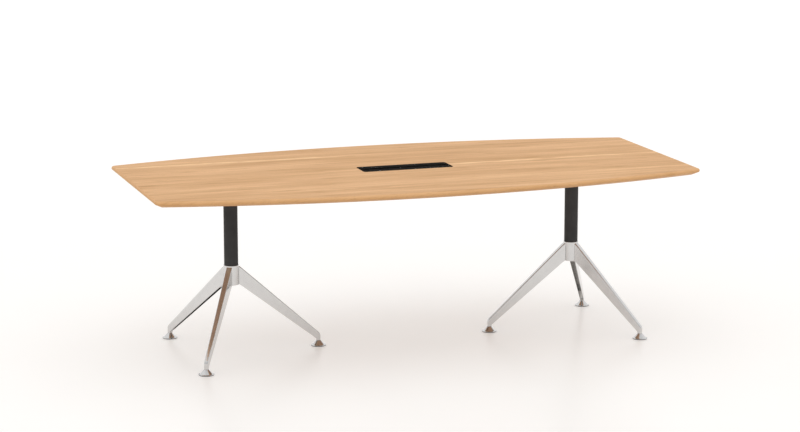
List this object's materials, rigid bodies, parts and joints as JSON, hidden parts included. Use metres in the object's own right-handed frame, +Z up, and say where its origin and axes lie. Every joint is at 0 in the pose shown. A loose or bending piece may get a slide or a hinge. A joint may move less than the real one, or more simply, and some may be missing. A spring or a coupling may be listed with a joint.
{
  "type": "conference table",
  "caption": "Boat-shaped wooden conference table with bevelled edges on two tripod pedestals with levelling feet, and a flush cable box with flip lids in its top.",
  "frame": {"origin": "on the floor, under the middle of the table top", "axes": "+X along the table, +Y to its rear, +Z up"},
  "size_m": [2.4, 1.18, 0.7635],
  "materials": {
    "oak": "satin lacquer over natural oak",
    "board": "raw board",
    "black_anodised": "satin black anodised",
    "black_paint": "fine matte powder coat",
    "black_plastic": "fine grain",
    "polished_aluminium": "polished",
    "chrome": "polished",
    "steel": "zinc plated",
    "rubber": "matte"
  },
  "bodies": {
    "table": {"tabletop_core": "board", "top_veneer": "oak", "backing_veneer": "oak", "lipping_front": "oak", "lipping_rear": "oak", "lipping_left": "oak", "lipping_right": "oak", "box_rim": "black_anodised", "hinge_rod_front": "steel", "hinge_rod_rear": "steel", "box_tray": "black_paint", "tray_bracket_left": "steel", "tray_bracket_right": "steel", "socket_rail": "black_plastic", "left_mounting_plate": "black_paint", "left_column": "black_paint", "left_column_plug": "steel", "left_column_bolt": "steel", "left_hub": "polished_aluminium", "left_hub_cap": "black_plastic", "right_mounting_plate": "black_paint", "right_column": "black_paint", "right_column_plug": "steel", "right_column_bolt": "steel", "right_hub": "polished_aluminium", "right_hub_cap": "black_plastic", "left_inner_leg": "polished_aluminium", "left_inner_leg_bolt": "steel", "left_front_leg": "polished_aluminium", "left_front_leg_bolt": "steel", "left_rear_leg": "polished_aluminium", "left_rear_leg_bolt": "steel", "right_inner_leg": "polished_aluminium", "right_inner_leg_bolt": "steel", "right_front_leg": "polished_aluminium", "right_front_leg_bolt": "steel", "right_rear_leg": "polished_aluminium", "right_rear_leg_bolt": "steel"},
    "lid_front": {"lid_front": "black_anodised"},
    "lid_rear": {"lid_rear": "black_anodised"},
    "left_inner_glide": {"left_inner_glide_bell": "chrome", "left_inner_glide_sole": "rubber"},
    "left_inner_stud": {"left_inner_glide_stud": "steel"},
    "left_front_glide": {"left_front_glide_bell": "chrome", "left_front_glide_sole": "rubber"},
    "left_front_stud": {"left_front_glide_stud": "steel"},
    "left_rear_glide": {"left_rear_glide_bell": "chrome", "left_rear_glide_sole": "rubber"},
    "left_rear_stud": {"left_rear_glide_stud": "steel"},
    "right_inner_glide": {"right_inner_glide_bell": "chrome", "right_inner_glide_sole": "rubber"},
    "right_inner_stud": {"right_inner_glide_stud": "steel"},
    "right_front_glide": {"right_front_glide_bell": "chrome", "right_front_glide_sole": "rubber"},
    "right_front_stud": {"right_front_glide_stud": "steel"},
    "right_rear_glide": {"right_rear_glide_bell": "chrome", "right_rear_glide_sole": "rubber"},
    "right_rear_stud": {"right_rear_glide_stud": "steel"}
  },
  "joints": [
    {"name": "lid_front_hinge", "type": "hinge", "parent": "table", "child": "lid_front", "pos_m": [0, -0.0433, 0.7598], "axis": [1, 0, 0], "range_deg": [0, 95]},
    {"name": "lid_rear_hinge", "type": "hinge", "parent": "table", "child": "lid_rear", "pos_m": [0, 0.0433, 0.7598], "axis": [-1, 0, 0], "range_deg": [0, 95]},
    {"name": "left_inner_glide_slide", "type": "slide", "parent": "table", "child": "left_inner_glide", "axis": [0, 0, -1], "range_m": [0, 0.01]},
    {"name": "left_inner_stud_spin", "type": "hinge", "parent": "left_inner_glide", "child": "left_inner_stud", "pos_m": [-0.395, 0, 0.023], "axis": [0, 0, -1], "range_deg": [0, 2890]},
    {"name": "left_front_glide_slide", "type": "slide", "parent": "table", "child": "left_front_glide", "axis": [0, 0, -1], "range_m": [0, 0.01]},
    {"name": "left_front_stud_spin", "type": "hinge", "parent": "left_front_glide", "child": "left_front_stud", "pos_m": [-0.97656, -0.33104, 0.023], "axis": [0, 0, -1], "range_deg": [0, 2890]},
    {"name": "left_rear_glide_slide", "type": "slide", "parent": "table", "child": "left_rear_glide", "axis": [0, 0, -1], "range_m": [0, 0.01]},
    {"name": "left_rear_stud_spin", "type": "hinge", "parent": "left_rear_glide", "child": "left_rear_stud", "pos_m": [-0.97656, 0.33104, 0.023], "axis": [0, 0, -1], "range_deg": [0, 2890]},
    {"name": "right_inner_glide_slide", "type": "slide", "parent": "table", "child": "right_inner_glide", "axis": [0, 0, -1], "range_m": [0, 0.01]},
    {"name": "right_inner_stud_spin", "type": "hinge", "parent": "right_inner_glide", "child": "right_inner_stud", "pos_m": [0.395, 0, 0.023], "axis": [0, 0, -1], "range_deg": [0, 2890]},
    {"name": "right_front_glide_slide", "type": "slide", "parent": "table", "child": "right_front_glide", "axis": [0, 0, -1], "range_m": [0, 0.01]},
    {"name": "right_front_stud_spin", "type": "hinge", "parent": "right_front_glide", "child": "right_front_stud", "pos_m": [0.97656, -0.33104, 0.023], "axis": [0, 0, -1], "range_deg": [0, 2890]},
    {"name": "right_rear_glide_slide", "type": "slide", "parent": "table", "child": "right_rear_glide", "axis": [0, 0, -1], "range_m": [0, 0.01]},
    {"name": "right_rear_stud_spin", "type": "hinge", "parent": "right_rear_glide", "child": "right_rear_stud", "pos_m": [0.97656, 0.33104, 0.023], "axis": [0, 0, -1], "range_deg": [0, 2890]}
  ],
  "couplings": [
    {"joint": "left_inner_stud_spin", "follows": "left_inner_glide_slide", "rad_per_m": 5026.5},
    {"joint": "left_front_stud_spin", "follows": "left_front_glide_slide", "rad_per_m": 5026.5},
    {"joint": "left_rear_stud_spin", "follows": "left_rear_glide_slide", "rad_per_m": 5026.5},
    {"joint": "right_inner_stud_spin", "follows": "right_inner_glide_slide", "rad_per_m": 5026.5},
    {"joint": "right_front_stud_spin", "follows": "right_front_glide_slide", "rad_per_m": 5026.5},
    {"joint": "right_rear_stud_spin", "follows": "right_rear_glide_slide", "rad_per_m": 5026.5}
  ]
}
